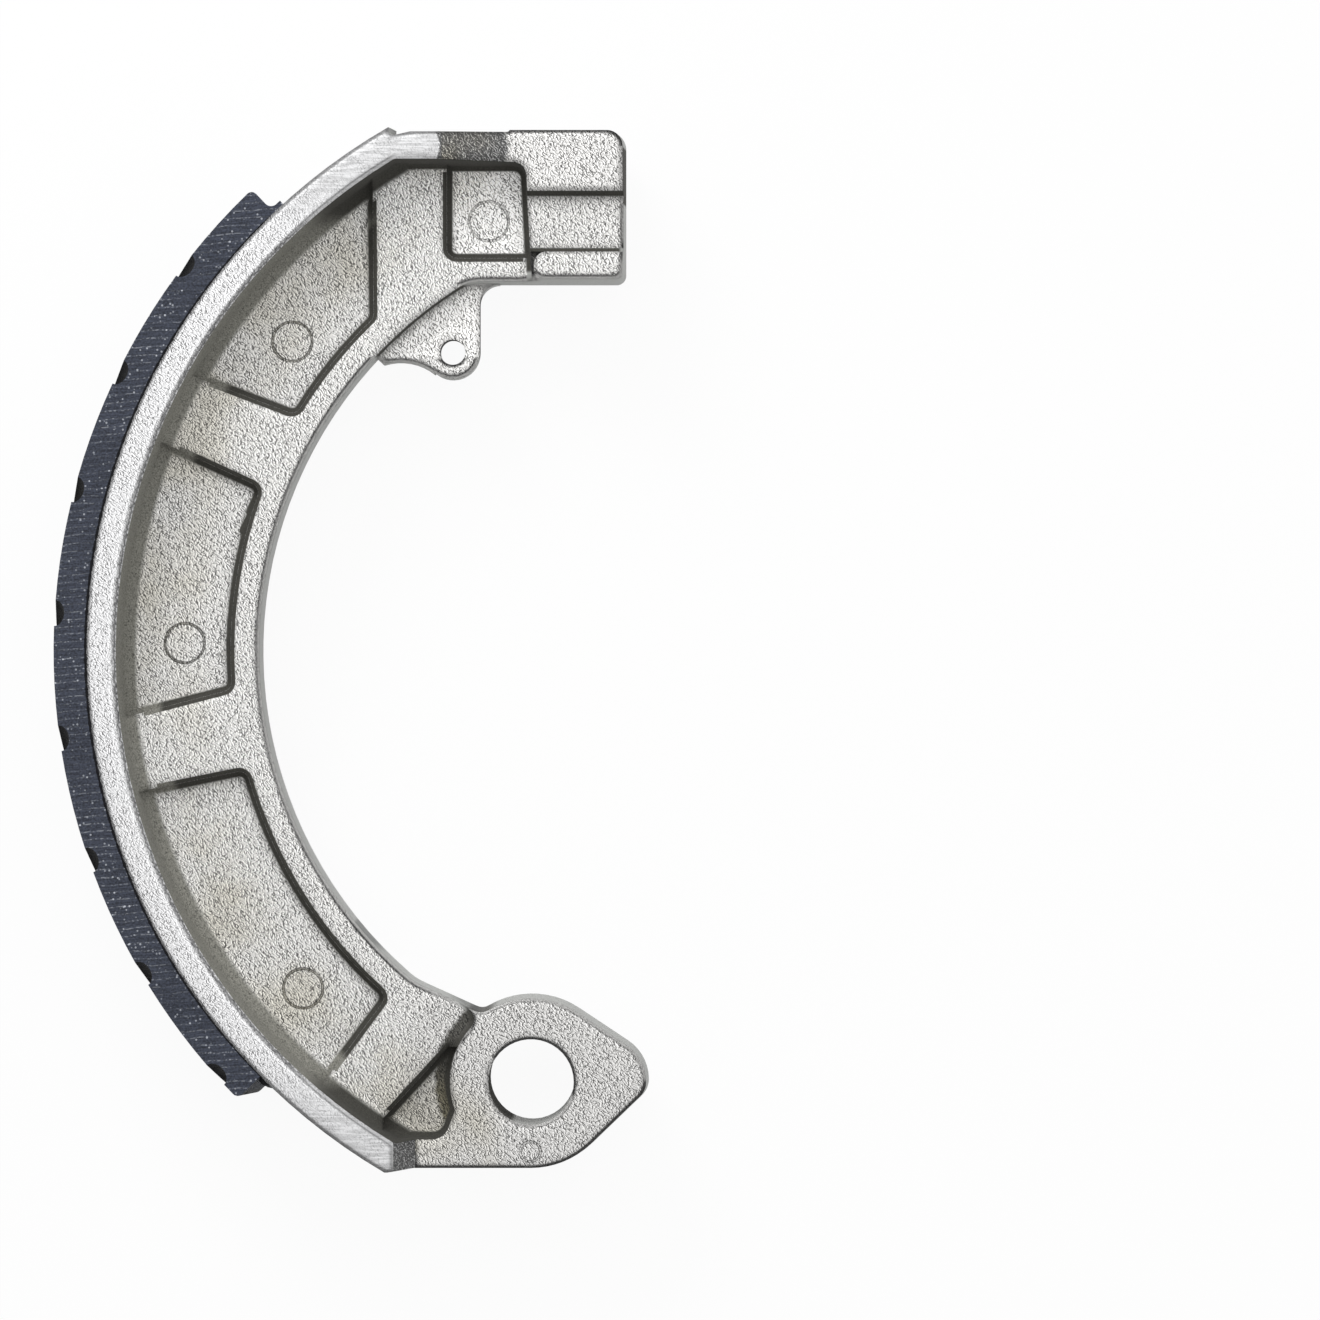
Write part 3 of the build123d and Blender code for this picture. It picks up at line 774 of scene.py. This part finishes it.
def lay_floor(look):
    """Flat floor just under the casting."""
    z = casting_low.z - FLOOR_GAP
    corners = [(x * FLOOR_REACH, y * FLOOR_REACH, z) for x, y in ((-1, -1), (1, -1), (1, 1), (-1, 1))]
    mesh = bpy.data.meshes.new("floor")
    mesh.from_pydata(corners, [], [(0, 1, 2, 3)])
    mesh.materials.append(floor_material(look))
    floor = bpy.data.objects.new("floor", mesh)
    bpy.context.scene.collection.objects.link(floor)


def hang_lamp(name, power, size, place, aim):
    """Square lamp that looks at a point."""
    light = bpy.data.lights.new(name, "AREA")
    light.shape = "SQUARE"
    light.size = size
    light.energy = power
    lamp = bpy.data.objects.new(name, light)
    lamp.location = place
    lamp.rotation_euler = (Vector(aim) - Vector(place)).to_track_quat("-Z", "Y").to_euler()
    bpy.context.scene.collection.objects.link(lamp)


def place_camera(look):
    """Camera straight above the shoe, shifted as the photograph is framed."""
    eye = bpy.data.cameras.new("camera")
    eye.sensor_width = FILM
    eye.lens = look.lens
    eye.shift_x, eye.shift_y = SHIFT
    camera = bpy.data.objects.new("camera", eye)
    camera.location = (look.camera_x, look.camera_y, look.camera_height)
    bpy.context.scene.collection.objects.link(camera)
    bpy.context.scene.camera = camera


class SHOE_OT_casting(bpy.types.Operator):
    """Finish the die casting"""

    bl_idname = "brake_shoe.casting"
    bl_label = "Casting finish"

    def execute(self, context):
        dress(CASTING, casting_material(context.scene.shoe_casting))
        return {"FINISHED"}


class SHOE_OT_lining(bpy.types.Operator):
    """Finish the friction lining"""

    bl_idname = "brake_shoe.lining"
    bl_label = "Lining finish"

    def execute(self, context):
        dress(LINING, lining_material(context.scene.shoe_lining))
        return {"FINISHED"}


class SHOE_OT_bead(bpy.types.Operator):
    """Lay the bead of adhesive along both sides of the joint and across its pivot end"""

    bl_idname = "brake_shoe.bead"
    bl_label = "Adhesive bead"

    def execute(self, context):
        look = context.scene.shoe_bead
        pivot, _ = joint_ends()
        parts = [
            arc_strip(look, SIDE_Z, facing=1.0, seed=3),
            arc_strip(look, -SIDE_Z, facing=-1.0, seed=5),
            end_strip(look, pivot, turn=-1.0, seed=11),
        ]
        new_piece(BEAD, parts, bead_material(look))
        return {"FINISHED"}


class SHOE_OT_stage(bpy.types.Operator):
    """Set out the floor, the light and the camera"""

    bl_idname = "brake_shoe.stage"
    bl_label = "Stage"

    def execute(self, context):
        scene = context.scene
        look = scene.shoe_stage
        lay_floor(look)
        hang_lamp("softbox", look.softbox, **SOFTBOX)
        hang_lamp("key", look.key, **KEY)
        scene.world = studio_world(look)
        place_camera(look)
        scene.view_settings.view_transform = "Standard"
        return {"FINISHED"}


class SHOE_PT_panel(bpy.types.Panel):
    """Buttons and settings of the brake shoe"""

    bl_idname = "SHOE_PT_panel"
    bl_label = "Brake Shoe"
    bl_space_type = "VIEW_3D"
    bl_region_type = "UI"
    bl_category = "Brake Shoe"

    def draw(self, context):
        for operator, group in STEPS:
            box = self.layout.box()
            settings = getattr(context.scene, group)
            for name in settings.__annotations__:
                box.prop(settings, name)
            box.operator(operator.bl_idname)


STEPS = (
    (SHOE_OT_casting, "shoe_casting"),
    (SHOE_OT_lining, "shoe_lining"),
    (SHOE_OT_bead, "shoe_bead"),
    (SHOE_OT_stage, "shoe_stage"),
)
GROUPS = {
    "shoe_casting": CastingFinish,
    "shoe_lining": LiningFinish,
    "shoe_bead": BeadSizes,
    "shoe_stage": StageSettings,
}
CLASSES = (*GROUPS.values(), *(operator for operator, group in STEPS), SHOE_PT_panel)


def register():
    for cls in CLASSES:
        bpy.utils.register_class(cls)
    for name, group in GROUPS.items():
        setattr(bpy.types.Scene, name, bpy.props.PointerProperty(type=group))


def unregister():
    for name in GROUPS:
        delattr(bpy.types.Scene, name)
    for cls in reversed(CLASSES):
        bpy.utils.unregister_class(cls)


def main():
    """Dresses the frame."""
    register()
    bpy.ops.brake_shoe.casting()
    bpy.ops.brake_shoe.lining()
    bpy.ops.brake_shoe.bead()
    bpy.ops.brake_shoe.stage()


if __name__ == "__main__":
    main()
